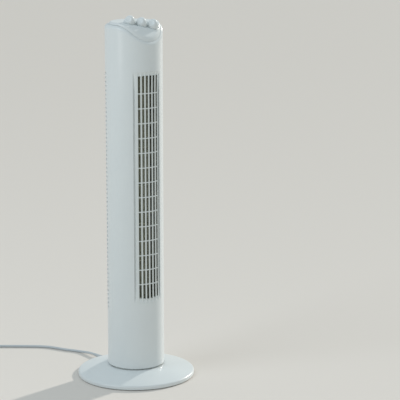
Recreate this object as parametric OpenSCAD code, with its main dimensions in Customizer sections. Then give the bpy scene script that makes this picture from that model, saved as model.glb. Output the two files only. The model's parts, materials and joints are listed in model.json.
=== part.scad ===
// Oscillating tower fan: a round base, a swivelling column with a crossflow impeller,
// an outlet grille, a slotted rear cover and a swept control panel with three knobs.
// Millimetres. Z is up, the front faces -Y, and the origin is the centre of the
// underside of the rubber feet. The mains lead leaves the base at the back (+Y).

/* [Base] */
// Diameter of the round base
base_d = 240; // [220:5:300]
// Height of the base rim above the floor
rim_h = 10; // [9:0.5:13]
// Radius that rounds the edge of the base rim
rim_round = 4; // [2:0.5:5]
// Height of the base dome where it meets the column
dome_h = 23.5; // [22:0.5:30]
// Wall of the base cover
base_wall = 2.4; // [1.8:0.2:3]
// Thickness of the base plate
plate_t = 2; // [1.5:0.5:3]
// Height of the rubber feet below the base plate
pad_h = 1.5; // [1:0.5:3]
// Diameter of a rubber foot
pad_d = 18; // [12:1:24]
// Number of rubber feet
pad_count = 6; // [4:1:8]
// Thickness of the steel ballast ring
ballast_t = 4.6; // [2:0.2:5]
// Distance from the rim of the base in to the ballast ring
ballast_inset = 20; // [16:1:40]

/* [Swivel] */
// Gap between the base dome and the column
swivel_gap = 3; // [2.5:0.5:5]
// Diameter of a bearing ball
ball_d = 5; // [4:0.5:6]
// Number of bearing balls
ball_count = 16; // [8:1:24]
// Diameter of the hollow pivot post
post_d = 10; // [9:0.5:11]
// Distance from the column axis to the crank axis
crank_offset = 24; // [23:0.5:25]
// Throw of the crank pin
crank_throw = 13.75; // [12:0.25:14.5]
// Diameter of the crank pin roller
roller_d = 5; // [4:0.5:6]
// Diameter of the swing motor
swing_motor_d = 49; // [44:1:50]
// Height of the swing motor
swing_motor_h = 19; // [14:1:22]

/* [Column] */
// Diameter of the column
column_d = 116; // [112:1:124]
// Height of the column housing, from its lower edge to the flat part of its top
column_h = 703.5; // [690:5:760]
// Wall of the column covers
wall = 2.2; // [1.6:0.2:2.8]
// Distance from the axis back to the joint of the front and rear covers
split_y = 3; // [0:0.5:6]
// Distance from the axis forward to where the top edge starts to fall
swoop_start = 12; // [8:1:16]
// Radius of the bend in the falling top edge
swoop_r = 38; // [30:1:44]
// Slope of the falling top edge, in degrees
swoop_angle = 46; // [40:1:50]

/* [Outlet] */
// Direction of the outlet from the front of the fan, in degrees
outlet_turn = -8; // [-12:1:12]
// Half of the angle that the outlet grille covers
outlet_half = 30; // [28:1:34]
// Height of the lowest slots above the lower edge of the column
outlet_rise = 147.5; // [144:0.5:160]
// Height of the column that stays closed above the outlet, round the controls
outlet_head = 99; // [94:1:110]
// Distance between rows of slots
row_pitch = 30; // [24:1:30]
// Slots in each row
slot_count = 6; // [4:1:6]
// Angle between neighbouring slots
slot_step = 8.05; // [7:0.05:8.5]
// Width of a slot
slot_w = 4.4; // [3:0.1:5]
// Height of a rib between two rows
rib_h = 1.8; // [1.2:0.1:3]
// Plain border above and below the slots
grille_border = 7; // [4:0.5:10]
// Depth of the grille face below the column's surface
grille_sink = 1.1; // [0.6:0.1:1.6]

/* [Intake] */
// Half of the angle that the intake slots cover at the back
intake_half = 66; // [50:1:68]
// Height of the lowest intake slot above the lower edge of the column
intake_rise = 118.5; // [110:0.5:130]
// Height of the column that stays closed above the intake
intake_head = 88; // [86:1:110]
// Distance between rows of intake slots
intake_pitch = 8.8; // [7.5:0.1:8.8]
// Height of an intake slot
intake_slot_h = 4.4; // [3:0.1:5]
// Width of the bars between the columns of intake slots
intake_bar = 5; // [3:0.5:8]

/* [Impeller] */
// Diameter of the crossflow impeller
impeller_d = 64; // [58:1:66]
// Number of blades
blade_count = 28; // [18:1:32]
// Sections of blades between discs
impeller_sections = 6; // [3:1:8]
// Radial length of a blade
blade_len = 9; // [7:0.5:11]
// Thickness of a blade
blade_t = 0.9; // [0.7:0.1:1.2]
// Thickness of a disc
disc_t = 1.6; // [1.2:0.2:2.4]
// Distance of the impeller axis to the right of the column axis
impeller_x = 4; // [2:0.5:5]
// Distance of the impeller axis behind the column axis
impeller_y = 8; // [6:0.5:9]

/* [Motor] */
// Diameter of the motor's laminated core
core_d = 68; // [62:1:70]
// Height of the motor's laminated core
core_h = 28; // [22:1:32]
// Diameter of the motor's rotor
rotor_d = 34; // [30:1:36]
// Diameter of the motor shaft
shaft_d = 8; // [6:0.5:8]
// Diameter of the upper stub shaft
stub_d = 5; // [4:0.5:6]

/* [Controls] */
// Diameter of a knob
knob_d = 22.6; // [20:0.2:23]
// Height of a knob
knob_h = 15.5; // [12:0.5:18]
// Width of a knob's finger grip
grip_w = 6.5; // [5:0.5:9]
// Sideways distance between neighbouring knobs
knob_step_x = 22; // [21.5:0.5:23]
// Forward distance between neighbouring knobs
knob_step_y = 9; // [7:0.5:10]
// Distance of the middle knob in front of the column axis
knob_mid = 24; // [22:0.5:25]
// Slope of the terrace that carries the knobs, in degrees
terrace_tilt = 25; // [22:1:28]
// Depth of the middle of the terrace below the panel's surface
terrace_sink = 3.6; // [3:0.2:4.4]
// Diameter of the knobs' spindles
spindle_d = 6; // [5:0.5:6]

/* [Mains lead] */
// Diameter of the lead
cord_d = 5.2; // [4.8:0.1:5.6]
// Length of the strain relief outside the base
relief_len = 26; // [20:1:30]
// Mean radius of the coiled lead
coil_r = 29; // [27:0.5:31]

/* [Hidden] */
$fn = 96;

// Colours
shell_white = [0.93, 0.94, 0.93];
grille_grey = [0.84, 0.85, 0.83];
inner_grey = [0.55, 0.57, 0.58];
steel = [0.66, 0.68, 0.70];
dark_steel = [0.38, 0.39, 0.41];
brass = [0.78, 0.62, 0.34];
copper = [0.72, 0.42, 0.24];
rubber_black = [0.12, 0.12, 0.13];
cord_grey = [0.78, 0.79, 0.80];

// Clearances
eps = 0.01;
fit = 0.25;         // between pieces that are slid together
seat = 0.1;         // between a piece and the seat that carries it
run = 0.05;         // radial, between a shaft and its bore
press = 0.02;       // radial, between pieces pressed together

// Fasteners
screw_d = 3;
head_d = 6;
head_h = 2;
boss_d = 8;
rib_w = 3;          // web that joins a boss to the wall
base_screw_len = 12;

// Levels of the base and the swivel
base_r = base_d/2;
ballast_r = base_r - ballast_inset;
plate_z = pad_h;
plate_top = pad_h + plate_t;
column_r = column_d/2;
inner_r = column_r - wall;
ring_top = dome_h + 1.7;
foot_z = ring_top + 2.4;
foot_t = 3;
foot_top = foot_z + foot_t;
ball_r = ball_d/2;
ball_z = (ring_top + foot_z)/2;
race_r = column_r - 9;
ring_w = ball_d + 3;
well_r = race_r - ring_w/2;
well_top = ring_top - 9.8;
well_under = well_top - base_wall;
dome_r = column_r + 0.5;
post_r = post_d/2;
post_bore_r = 3.2;
post_flange_r = 10;
post_flange_t = 2;
washer_t = 1;
washer_r = 13;
nut_t = 4.5;
boss_place_r = race_r - ring_w/2 - 3;

// Levels of the swing drive
yoke_h = 4.6;
arm_gap = 1.2;
arm_t = 3.2;
arm_z = well_top + yoke_h + arm_gap;
roller_r = roller_d/2;
roller_play = 0.9;
crank_shaft_r = 3.5;
swing_motor_z = foot_top + washer_t + nut_t + 2;
ear_x = swing_motor_d/2 + 5.5;

// Levels of the column
column_z = dome_h + swivel_gap;
column_top = column_z + column_h;
outlet_z = column_z + outlet_rise;
end_row = 5;        // the last row of slots is taller by this
slot_rows = floor((column_h - outlet_rise - outlet_head)/row_pitch);
outlet_top = outlet_z + slot_rows*row_pitch + end_row;
window_z = outlet_z - grille_border;
window_top = outlet_top + grille_border;
lip_rise = 3;       // the grille's lip laps the window's edges inside
lip_turn = 2.5;
lip_t = 1.7;
baffle_t = 3;
lower_baffle_z = window_z - lip_rise - 1 - baffle_t;
upper_baffle_z = window_top + lip_rise + 1;
duct_z = lower_baffle_z + baffle_t;
duct_h = upper_baffle_z - duct_z;
intake_z = column_z + intake_rise;
intake_rows = floor((column_h - intake_rise - intake_head)/intake_pitch);
cover_boss_x = inner_r - 8;
cover_front_len = 16;
cover_rear_len = 10;
cover_screw_z = [column_z + 50, lower_baffle_z - 12, upper_baffle_z + 18];

// Levels of the impeller and motor
impeller_r = impeller_d/2;
impeller_gap = 3.5;
impeller_z = duct_z + impeller_gap;
impeller_h = duct_h - 2*impeller_gap;
hub_r = 9;
hub_h = 18;
shaft_r = shaft_d/2;
stub_r = stub_d/2;
shield_t = 2.5;
core_r = core_d/2;
core_top = lower_baffle_z - 18;
core_z = core_top - core_h;
rotor_r = rotor_d/2;
air_gap = 0.4;
winding_h = 9;
shield_h = 16;

// Seam of the control panel: a flat back, a bend and a straight fall
panel_gap = 0.3;
panel_t = 2.5;
panel_lip_t = 1.6;
panel_lip_h = 4;
panel_zone = 80;    // more than the panel's height, from its foot in front to its top
reach = column_r + 5;

// The swoop in the plane (distance in front of the axis, height), raised by t
function swoop_pt(a, t) = [swoop_start + (swoop_r + t)*sin(a),
    column_top - swoop_r + (swoop_r + t)*cos(a)];
function swoop_end(t) = let(p = swoop_pt(swoop_angle, t))
    [reach, p[1] - (reach - p[0])*tan(swoop_angle)];
function swoop_edge(t, steps = 10) = concat([[-reach, column_top + t]],
    [for (i = [0:steps]) swoop_pt(i*swoop_angle/steps, t)], [swoop_end(t)]);

// Places of the knobs on the terrace, from left to right. The terrace is a plane whose
// middle lies terrace_sink below the panel's outer surface.
terrace_wall = 2;
terrace_depth = 7;
terrace_mid_z = column_top - swoop_r - terrace_sink
    + sqrt(pow(swoop_r + panel_t, 2) - pow(knob_mid - swoop_start, 2));
function knob_local(i) = [(i - 1)*knob_step_x, -(i - 1)*knob_step_y/cos(terrace_tilt), 0];
knob_r = knob_d/2;
knob_lift = 0.4;
knob_skirt = 2.5;
knob_bore = 9;
scoop_r = 12;
scoop_z = 5;
terrace_r = knob_r + 1.6;
spindle_r = spindle_d/2;
bracket_t = 2;
bracket_z = -terrace_depth - bracket_t - run;
switch_r = 9.5;
switch_h = 14;
switch_neck_r = 4.5;
timer_r = 17;
timer_h = 22;
timer_z = bracket_z - switch_h - 6;

// Mains lead: its route outside the base starts at the end of the strain relief, runs on
// the floor and meets the coil; the coil lies on the floor on its tie
cord_r = cord_d/2;
exit_z = 5.6;
relief_r = 3.3;
relief_flange = [11, 5.1, 2];
relief_inner = base_r - base_wall - 4.4;
relief_end = base_r + relief_len;
cord_sides = 8;
cord_route = [[0, 0, 5.6], [0, 10, 5.6], [-1, 22, 4.6], [-3, 34, 3.4], [-6, 46, 2.6],
    [-11, 58, 2.6], [-18, 70, 2.6], [-24, 83, 2.6], [-29, 97, 2.6], [-35, 111, 2.6],
    [-43, 123, 2.6], [-53, 134, 2.6], [-64, 144, 2.6], [-75, 154, 2.6], [-87, 164, 2.6],
    [-98, 174, 2.6], [-110, 184, 2.6], [-122, 194, 3], [-134, 204, 3.4], [-146, 214, 3.7]];
coil_lead_in = 20;
coil_base = 1.1;
coil_layers = 2;
coil_wide = 3;
tie_t = 1;
tie_w = 8;
tail_len = 40;
plug_len = 36;
plug_w = 34;
plug_h = 13.7;
plug_neck_w = 12;
pin_len = 19;
pin_r = 2;
pin_step = 9.3;
route = [for (p = cord_route) [p[0], p[1] + relief_end, p[2]]];
route_end = route[len(route) - 1];
lead_step = route_end - route[len(route) - 2];
lead_dir = [lead_step[0], lead_step[1], 0]/norm([lead_step[0], lead_step[1]]);
lead_side = [-lead_dir[1], lead_dir[0], 0];
coil_outer = coil_r + cord_d*(coil_wide - 1)/2;
coil_at = [route_end[0], route_end[1], 0] + coil_lead_in*lead_dir + coil_outer*lead_side;
coil_h = cord_d*coil_layers;
tail_z = coil_base + coil_h - cord_r;
tail_at = coil_at + coil_outer*lead_dir + coil_lead_in*lead_side;
tail_end = tail_at + tail_len*lead_side;

// ---- Helpers ----------------------------------------------------------------

// An outline in (distance in front of the axis, height), extruded sideways
module across(w) rotate([90, 0, -90]) linear_extrude(height = w, center = true) children();

// A ring between two radii
module ring(r_out, r_in, h) difference() {
    cylinder(r = r_out, h = h);
    translate([0, 0, -1]) cylinder(r = r_in, h = h + 2);
}

// Part of a ring, centred on a direction measured from the front
module arc_wall(r_out, r_in, h, direction, half)
    rotate([0, 0, direction - 90 - half]) rotate_extrude(angle = 2*half)
        translate([r_in, 0]) square([r_out - r_in, h]);

// A straight wall in plan from p to q
module wall_2d(p, q, t) translate(p) rotate(atan2(q[1] - p[1], q[0] - p[0]))
    translate([0, -t/2]) square([norm(q - p), t]);

// A pan-head screw that points up, with its head's seat at the origin
module screw(len, head = head_h) {
    cylinder(d = screw_d, h = len);
    translate([0, 0, -head]) cylinder(d = head_d, h = head);
}

// A hole for a screw that cuts its own thread
module pilot(len) translate([0, 0, -eps]) cylinder(r = screw_d/2 + press, h = len);

module ball_groove() translate([0, 0, ball_z]) rotate_extrude()
    translate([race_r, 0]) circle(r = ball_r + run);

// Places that repeat
module base_screw_places() for (i = [0:3]) rotate([0, 0, 45 + 90*i])
    translate([race_r + 3, 0, 0]) children();
module pad_places() for (i = [0:pad_count - 1]) rotate([0, 0, 360*(i + 0.5)/pad_count])
    translate([base_r - pad_d/2 - 5, 0, 0]) children();
module foot_screw_places() for (p = foot_screw_at) translate([p[0], p[1], 0]) children();
module at_impeller() translate([impeller_x, impeller_y, 0]) children();
module motor_screw_places() at_impeller() for (i = [0:2]) rotate([0, 0, 120*i + 30])
    translate([core_r - 7, 0, 0]) children();
module cover_screw_places() for (side = [-1, 1], z = cover_screw_z)
    translate([side*cover_boss_x, split_y, z]) rotate([90, 0, 0]) children();
module on_terrace() translate([0, -knob_mid, terrace_mid_z])
    rotate([terrace_tilt, 0, 0]) children();
module at_knob(i) on_terrace() translate(knob_local(i)) children();

foot_screw_at = [for (side = [-1, 1], p = [[36, -22], [22, 36]])
    boss_place_r/norm(p)*[side*p[0], p[1]]];

// ---- Base -------------------------------------------------------------------

function dome_under(r) = let(outer = base_r - rim_round - 1)
    rim_h - base_wall + (dome_h - rim_h)*(outer - r)/(outer - dome_r);

module base_rib() {
    rib_z = plate_top + ballast_t + 0.4;
    inner = well_r + base_wall - 0.5;
    outer = ballast_r;
    rotate([90, 0, 0]) linear_extrude(height = 1.6, center = true) polygon([
        [inner, rib_z], [outer, rib_z], [outer, dome_under(outer) + 0.5],
        [dome_r, dome_under(dome_r) + 0.5], [inner, dome_under(dome_r) + 0.5]]);
}

module base_cover() color(shell_white) difference() {
    union() {
        rotate_extrude($fn = 180) polygon(concat(
            [[base_r, pad_h]],
            [for (a = [0:15:75]) [base_r - rim_round*(1 - cos(a)),
                rim_h - rim_round*(1 - sin(a))]],
            [[dome_r, dome_h], [race_r + ring_w/2, dome_h], [race_r + ring_w/2, ring_top],
             [well_r, ring_top], [well_r, well_top], [post_r + run, well_top],
             [post_r + run, well_under], [well_r + base_wall, well_under],
             [well_r + base_wall, dome_h - base_wall], [dome_r, dome_h - base_wall],
             [base_r - rim_round - 1, rim_h - base_wall],
             [base_r - base_wall, rim_h - rim_round - 1], [base_r - base_wall, pad_h]]));
        for (i = [0:7]) rotate([0, 0, 22.5 + 45*i]) base_rib();
        base_screw_places() translate([0, 0, plate_top])
            cylinder(d = boss_d, h = dome_h - base_wall + 0.5 - plate_top);
    }
    ball_groove();
    base_screw_places() translate([0, 0, plate_top]) pilot(12);
    translate([0, relief_inner - 1.5, exit_z]) rotate([-90, 0, 0])
        cylinder(r = relief_r + seat, h = base_wall + 8);
}

module base_plate() color(inner_grey) difference() {
    translate([0, 0, plate_z]) cylinder(r = base_r - base_wall - fit, h = plate_t);
    base_screw_places() translate([0, 0, plate_z]) pilot(plate_t + 1);
    pad_places() translate([0, 0, plate_z - eps]) cylinder(r = pad_d/2 + fit, h = 0.4);
    translate([-6, base_r - base_wall - 5, plate_z - 1]) cube([12, 8, plate_t + 2]);
}

module ballast_ring() color(dark_steel) translate([0, 0, plate_top])
    ring(ballast_r, race_r + 3 + boss_d/2 + 1.5, ballast_t);

module rubber_feet() color(rubber_black) pad_places() cylinder(d = pad_d, h = pad_h + 0.4 - eps);

module base_screws() color(steel) base_screw_places() translate([0, 0, plate_z])
    screw(base_screw_len, pad_h - 0.2);

module ball_cage() color(brass) translate([0, 0, ball_z - 0.6]) difference() {
    ring(race_r + ring_w/2 - 0.6, well_r + 0.6, 1.2);
    for (i = [0:ball_count - 1]) rotate([0, 0, 360*i/ball_count])
        translate([race_r, 0, -1]) cylinder(r = ball_r + 0.15, h = 4);
}

module bearing_balls() color(steel) for (i = [0:ball_count - 1])
    rotate([0, 0, 360*i/ball_count]) translate([race_r, 0, ball_z]) sphere(r = ball_r);

// The yoke lies in the base's well; the crank roller runs in its slot
module swing_yoke() color(inner_grey) {
    near = crank_offset - crank_throw - 0.5;
    far = crank_offset + crank_throw + 0.5;
    slot_r = roller_r + roller_play;
    difference() {
        translate([0, 0, well_top]) cylinder(r = well_r - fit, h = yoke_h);
        translate([0, 0, well_top - 1]) {
            cylinder(r = post_r + seat, h = yoke_h + 2);
            translate([0, near, 0]) cylinder(r = slot_r, h = yoke_h + 2);
            translate([0, far, 0]) cylinder(r = slot_r, h = yoke_h + 2);
            translate([-slot_r, near, 0]) cube([2*slot_r, far - near, yoke_h + 2]);
        }
    }
}

// Hollow post: the lead passes up through it into the column
module pivot_post() color(steel) difference() {
    union() {
        translate([0, 0, well_under - post_flange_t])
            cylinder(r = post_flange_r, h = post_flange_t);
        translate([0, 0, well_under - post_flange_t])
            cylinder(r = post_r, h = foot_top + washer_t + nut_t + 1 - well_under + post_flange_t);
    }
    translate([0, 0, well_under - post_flange_t - 1]) cylinder(r = post_bore_r, h = 60);
}

module pivot_washer() color(brass) translate([0, 0, foot_top])
    ring(washer_r, post_r + press, washer_t);

module pivot_nut() color(steel) translate([0, 0, foot_top + washer_t]) difference() {
    cylinder(r = post_r + 4, h = nut_t, $fn = 6);
    translate([0, 0, -1]) cylinder(r = post_r + press, h = nut_t + 2);
}

// ---- Swing drive ------------------------------------------------------------

module column_foot() color(inner_grey) difference() {
    union() {
        translate([0, 0, foot_z]) cylinder(r = inner_r - fit, h = foot_t);
        for (side = [-1, 1]) translate([side*ear_x, crank_offset, foot_top - eps])
            cylinder(d = boss_d, h = swing_motor_z - foot_top + eps);
    }
    ball_groove();
    translate([0, 0, foot_z - 1]) {
        cylinder(r = post_r + run, h = foot_t + 2);
        translate([0, crank_offset, 0]) cylinder(r = crank_shaft_r + 1, h = foot_t + 2);
        foot_screw_places() cylinder(r = screw_d/2 + press, h = foot_t + 2);
    }
    for (side = [-1, 1]) translate([side*ear_x, crank_offset, foot_top + 1]) pilot(20);
}

module foot_screws() color(steel) foot_screw_places() translate([0, 0, foot_z])
    screw(foot_t + 5);

module swing_motor() color(steel) translate([0, crank_offset, swing_motor_z]) difference() {
    union() {
        cylinder(d = swing_motor_d, h = swing_motor_h);
        for (side = [-1, 1]) {
            translate([side*ear_x, 0, 0]) cylinder(r = 4.5, h = 1.2);
            translate([min(side*ear_x, 0), -4.5, 0]) cube([ear_x, 9, 1.2]);
        }
        translate([0, 0, swing_motor_h - eps]) cylinder(r = 7, h = 3);
    }
    translate([0, 0, -1]) cylinder(r = crank_shaft_r + run, h = 12);
    for (side = [-1, 1]) translate([side*ear_x, 0, -1]) cylinder(r = screw_d/2 + press, h = 4);
}

module swing_motor_screws() color(steel) for (side = [-1, 1])
    translate([side*ear_x, crank_offset, swing_motor_z + 1.2]) mirror([0, 0, 1]) screw(7);

module crank_shaft() color(steel) translate([0, crank_offset, arm_z])
    cylinder(r = crank_shaft_r, h = swing_motor_z + 10 - arm_z);

module crank_arm() color(brass) translate([0, crank_offset, arm_z]) difference() {
    union() {
        cylinder(r = 6, h = foot_z - 0.6 - arm_z);
        translate([0, crank_throw, 0]) cylinder(r = 4, h = arm_t);
        translate([-4, 0, 0]) cube([8, crank_throw, arm_t]);
    }
    translate([0, 0, -1]) cylinder(r = crank_shaft_r + press, h = 12);
    translate([0, crank_throw, -1]) cylinder(r = 1.5 + press, h = arm_t + 2);
}

// Roller on its pin, riveted over the arm
module crank_roller() color(steel) translate([0, crank_offset + crank_throw, 0]) {
    translate([0, 0, well_top + 0.6]) cylinder(r = roller_r, h = yoke_h + arm_gap - 0.6);
    translate([0, 0, arm_z - eps]) cylinder(r = 1.5, h = arm_t + 2*eps);
    translate([0, 0, arm_z + arm_t]) cylinder(r = 2.4, h = 0.7);
}

// ---- Column housing ---------------------------------------------------------

// Everything above the swept top edge, raised by t
module above_swoop(t) across(2*reach) polygon(concat(swoop_edge(t),
    [[reach, column_top + 60], [-reach, column_top + 60]]));

// Both covers as one tube with its swept top edge
module column_tube() difference() {
    translate([0, 0, column_z]) ring(column_r, inner_r, column_h + 1);
    above_swoop(0);
}

module half_space(front) translate([-reach, front ? -reach : split_y, 0])
    cube([2*reach, front ? reach + split_y : reach, column_top + 80]);

// Bosses for the foot screws stand on the foot and join the wall
module foot_boss(p) {
    wall_point = (column_r - 1)/norm(p)*p;
    translate([0, 0, foot_top]) intersection() {
        linear_extrude(height = 6) {
            translate(p) circle(d = boss_d);
            wall_2d(p, wall_point, 4);
        }
        cylinder(r = column_r - 1, h = 10);
    }
}

module foot_boss_pilots() foot_screw_places() translate([0, 0, foot_top]) pilot(5.5);

// Bosses for the cover screws, each with a web out to the wall
module cover_bosses(back, len) intersection() {
    cover_screw_places() mirror([0, 0, back ? 1 : 0]) {
        cylinder(d = boss_d, h = len);
        translate([-boss_d, -rib_w/2, 0]) cube([2*boss_d, rib_w, len]);
    }
    translate([0, 0, column_z]) ring(column_r - 1, cover_boss_x - boss_d/2, column_h);
}

module front_cover() color(shell_white) difference() {
    union() {
        intersection() {
            column_tube();
            half_space(true);
        }
        for (i = [0, 2]) foot_boss(foot_screw_at[i]);
        cover_bosses(false, cover_front_len);
    }
    foot_boss_pilots();
    cover_screw_places() pilot(cover_front_len - 2);
    translate([0, 0, window_z]) arc_wall(column_r + 2, inner_r - 2, window_top - window_z,
        outlet_turn, outlet_half);
}

module rear_cover() color(shell_white) difference() {
    union() {
        intersection() {
            column_tube();
            half_space(false);
        }
        for (i = [1, 3]) foot_boss(foot_screw_at[i]);
        cover_bosses(true, cover_rear_len);
    }
    foot_boss_pilots();
    cover_screw_places() mirror([0, 0, 1]) {
        pilot(cover_rear_len + 2);
        translate([0, 0, cover_rear_len]) cylinder(d = head_d + 1, h = column_r);
    }
    for (row = [0:intake_rows - 1], i = [-1:1])
        translate([0, 0, intake_z + row*intake_pitch]) intake_slot(i);
}

// One intake slot; three of them make a row
module intake_slot(i) {
    span = 2*intake_half/3;
    half_w = inner_r*sin(span/2) - intake_bar/2;
    rotate([0, 0, 90 + i*span]) translate([inner_r*cos(span/2) - 6, -half_w, 0])
        cube([20, 2*half_w, intake_slot_h]);
}

module cover_screws() color(steel) cover_screw_places() translate([0, 0, -cover_rear_len])
    screw(cover_rear_len + cover_front_len - 4);

// ---- Outlet and air duct ----------------------------------------------------

module outlet_grille() color(grille_grey) {
    face_r = column_r - grille_sink;
    difference() {
        union() {
            translate([0, 0, window_z + seat]) arc_wall(face_r, inner_r - 1, window_top - window_z
                - 2*seat, outlet_turn, outlet_half - seat);
            translate([0, 0, window_z - lip_rise]) arc_wall(inner_r - seat, inner_r - lip_t,
                window_top - window_z + 2*lip_rise, outlet_turn, outlet_half + lip_turn);
        }
        for (i = [0:slot_count - 1])
            rotate([0, 0, outlet_turn - 90 + (i - (slot_count - 1)/2)*slot_step])
                translate([inner_r - 6, -slot_w/2, outlet_z])
                    cube([20, slot_w, outlet_top - outlet_z]);
    }
    for (row = [1:slot_rows - 1]) translate([0, 0, outlet_z + row*row_pitch - rib_h/2])
        arc_wall(face_r - 0.5, inner_r - 1.4, rib_h, outlet_turn, slot_step*slot_count/2);
}

// Polar point about the impeller's axis, in plan
function about_impeller(a, r) = [impeller_x + r*cos(a), impeller_y + r*sin(a)];
function outlet_corner(side) = let(a = outlet_turn + side*(outlet_half + lip_turn) - 90)
    (inner_r - lip_t - fit)*[cos(a), sin(a)];
function angle_from_impeller(p) = atan2(p[1] - impeller_y, p[0] - impeller_x);
function reach_from_impeller(p) = norm(p - [impeller_x, impeller_y]);

duct_wall = 1.6;
scroll_gap = 3;
scroll_end = 75;
scroll_steps = 18;

// The scroll is a spiral: its distance from the impeller grows evenly from the back to
// the right side of the outlet
scroll_corner = outlet_corner(1);
scroll_start = angle_from_impeller(scroll_corner);
scroll_far = reach_from_impeller(scroll_corner) - duct_wall;
scroll_near = impeller_r + scroll_gap;
function scroll_side(t) = [for (i = [0:scroll_steps]) let(u = i/scroll_steps)
    about_impeller(scroll_start + u*(scroll_end - scroll_start),
        scroll_far + u*(scroll_near - scroll_far) + t)];

module scroll_wall() color(inner_grey) {
    back = scroll_side(duct_wall);
    translate([0, 0, duct_z]) linear_extrude(height = duct_h)
        polygon(concat(scroll_side(0), [for (i = [scroll_steps:-1:0]) back[i]]));
}

// The tongue parts the outlet from the intake, close to the impeller
module vortex_tongue() color(inner_grey) {
    corner = outlet_corner(-1);
    tip = about_impeller(-152, impeller_r + scroll_gap + 2);
    rest = (inner_r - 1.1)*[cos(186), sin(186)];
    translate([0, 0, duct_z]) linear_extrude(height = duct_h) {
        wall_2d(corner, tip, duct_wall);
        wall_2d(tip, rest, duct_wall);
        translate(tip) circle(r = 2);
    }
}

module lower_baffle() color(inner_grey) difference() {
    translate([0, 0, lower_baffle_z]) cylinder(r = inner_r - fit, h = baffle_t);
    at_impeller() translate([0, 0, lower_baffle_z - 1]) cylinder(r = shaft_r + 2, h = baffle_t + 2);
    motor_screw_places() translate([0, 0, lower_baffle_z - 1])
        cylinder(r = screw_d/2 + press, h = baffle_t + 2);
    translate([-inner_r + 6, -4, lower_baffle_z - 1]) cylinder(r = 3, h = baffle_t + 2);
}

cup_r = 11;
bush_r = 6;
bush_h = 10;

module upper_baffle() color(inner_grey) difference() {
    union() {
        translate([0, 0, upper_baffle_z]) cylinder(r = inner_r - fit, h = baffle_t);
        at_impeller() translate([0, 0, upper_baffle_z]) cylinder(r = cup_r + 2, h = bush_h + 2);
    }
    at_impeller() {
        translate([0, 0, upper_baffle_z - 1]) cylinder(r = stub_r + 1.5, h = 20);
        translate([0, 0, upper_baffle_z + 2]) cylinder(r = cup_r + press, h = 20);
    }
    translate([-inner_r + 6, -4, upper_baffle_z - 1]) cylinder(r = 3, h = baffle_t + 2);
}

module bearing_rubber() color(rubber_black) at_impeller()
    translate([0, 0, upper_baffle_z + 2]) ring(cup_r, bush_r + press, bush_h);

module bearing_bush() color(brass) at_impeller()
    translate([0, 0, upper_baffle_z + 2]) ring(bush_r, stub_r + run, bush_h);

// ---- Impeller and motor -----------------------------------------------------

// A blade's section: an arc of even thickness that leans forward
function blade_side(t, steps = 5) = let(bow = blade_len*0.75) [for (i = [0:steps])
    let(a = -42 + i*84/steps) [impeller_r - 0.6 - blade_len/2 + (bow + t)*sin(a)*0.98,
        (bow + t)*cos(a) - bow*0.86]];
module blade_section() {
    inner = blade_side(-blade_t/2);
    polygon(concat(blade_side(blade_t/2), [for (i = [len(inner) - 1:-1:0]) inner[i]]));
}

module impeller() color(dark_steel) at_impeller() translate([0, 0, impeller_z]) difference() {
    union() {
        cylinder(r = impeller_r, h = disc_t);
        translate([0, 0, impeller_h - disc_t]) cylinder(r = impeller_r, h = disc_t);
        for (i = [1:impeller_sections - 1])
            translate([0, 0, i*(impeller_h - disc_t)/impeller_sections])
                ring(impeller_r, impeller_r - blade_len - 2, disc_t);
        cylinder(r = hub_r, h = hub_h);
        translate([0, 0, impeller_h - hub_h/2]) cylinder(r = hub_r, h = hub_h/2);
        linear_extrude(height = impeller_h)
            for (i = [0:blade_count - 1]) rotate(360*i/blade_count) blade_section();
    }
    translate([0, 0, -1]) cylinder(r = shaft_r + press, h = hub_h);
    translate([0, 0, impeller_h - hub_h/2 + 1]) cylinder(r = stub_r + press, h = hub_h);
}

module stub_shaft() color(steel) at_impeller()
    translate([0, 0, impeller_z + impeller_h - hub_h/2 + 1])
        cylinder(r = stub_r, h = upper_baffle_z + 2 + bush_h + 1 - impeller_z - impeller_h
            + hub_h/2 - 1);

shaft_z = core_z - shield_h - 2;

module motor_shaft() color(steel) at_impeller() translate([0, 0, shaft_z])
    cylinder(r = shaft_r, h = impeller_z + hub_h - 1 - shaft_z);

module motor_rotor() color(dark_steel) at_impeller() translate([0, 0, core_z - 2])
    ring(rotor_r, shaft_r + press, core_h + 4);

module motor_core() color(dark_steel) difference() {
    at_impeller() translate([0, 0, core_z]) ring(core_r, rotor_r + air_gap, core_h);
    motor_screw_places() translate([0, 0, core_z - 1])
        cylinder(r = screw_d/2 + press, h = core_h + 2);
}

module motor_windings() color(copper) at_impeller() for (z = [core_z - winding_h, core_top])
    translate([0, 0, z]) ring(core_r - 12, rotor_r + 2, winding_h);

// Two end shields: a wall round the windings, a plate and a boss for the bush
module shield() difference() {
    union() {
        cylinder(r = core_r, h = shield_h);
        for (i = [0:2]) rotate([0, 0, 120*i + 30]) translate([core_r - 7, 0, 0])
            cylinder(d = boss_d, h = shield_h + 2);
    }
    translate([0, 0, -eps]) difference() {
        cylinder(r = core_r - shield_t, h = shield_h - shield_t + eps);
        translate([0, 0, 9.5]) cylinder(r = shaft_r + 6, h = shield_h);
        for (i = [0:2]) rotate([0, 0, 120*i + 30]) translate([core_r - 7, 0, -1])
            cylinder(d = boss_d, h = shield_h + 2);
    }
    translate([0, 0, 8]) cylinder(r = shaft_r + 3 + press, h = shield_h);
    for (i = [0:2]) rotate([0, 0, 120*i + 30]) translate([core_r - 7, 0, -1])
        cylinder(r = screw_d/2 + press, h = shield_h + 4);
}

module motor_shields() color(steel) at_impeller() {
    translate([0, 0, core_top]) shield();
    translate([0, 0, core_z]) mirror([0, 0, 1]) shield();
}

module motor_bushes() color(brass) at_impeller() {
    translate([0, 0, core_top + 10]) ring(shaft_r + 3, shaft_r + run, 6);
    translate([0, 0, core_z - 16]) ring(shaft_r + 3, shaft_r + run, 6);
}

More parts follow.
